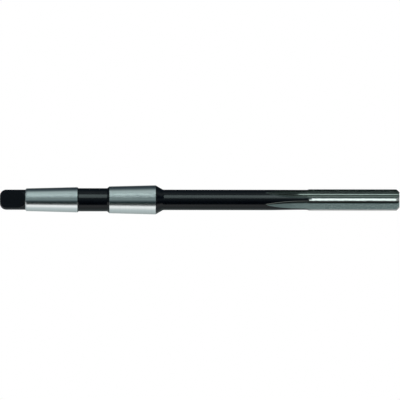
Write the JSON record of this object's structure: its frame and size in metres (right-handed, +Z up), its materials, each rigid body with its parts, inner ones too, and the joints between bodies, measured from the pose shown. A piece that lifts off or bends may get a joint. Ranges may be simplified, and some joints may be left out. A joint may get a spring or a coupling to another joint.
{
  "type": "machine reamer",
  "caption": "Straight-fluted machine reamer with a tanged Morse taper shank, a relieved waist between its ground bands, a long slim neck and a bevelled cutting end.",
  "frame": {"origin": "on the tool's axis, in the gauge plane of the Morse taper, where the taper's diameter is 12.065 mm", "axes": "+X along the tool's axis towards the cutting end; the tang is towards -X with its flats facing -Y and +Y; +Z is up as the tool lies"},
  "size_m": [0.168, 0.0122, 0.0122],
  "materials": {
    "tool_steel": "black oxide on the tang, waist, shoulder and neck; bright ground taper bands and cutting head"
  },
  "bodies": {
    "root": {"reamer": "tool_steel"}
  },
  "joints": []
}
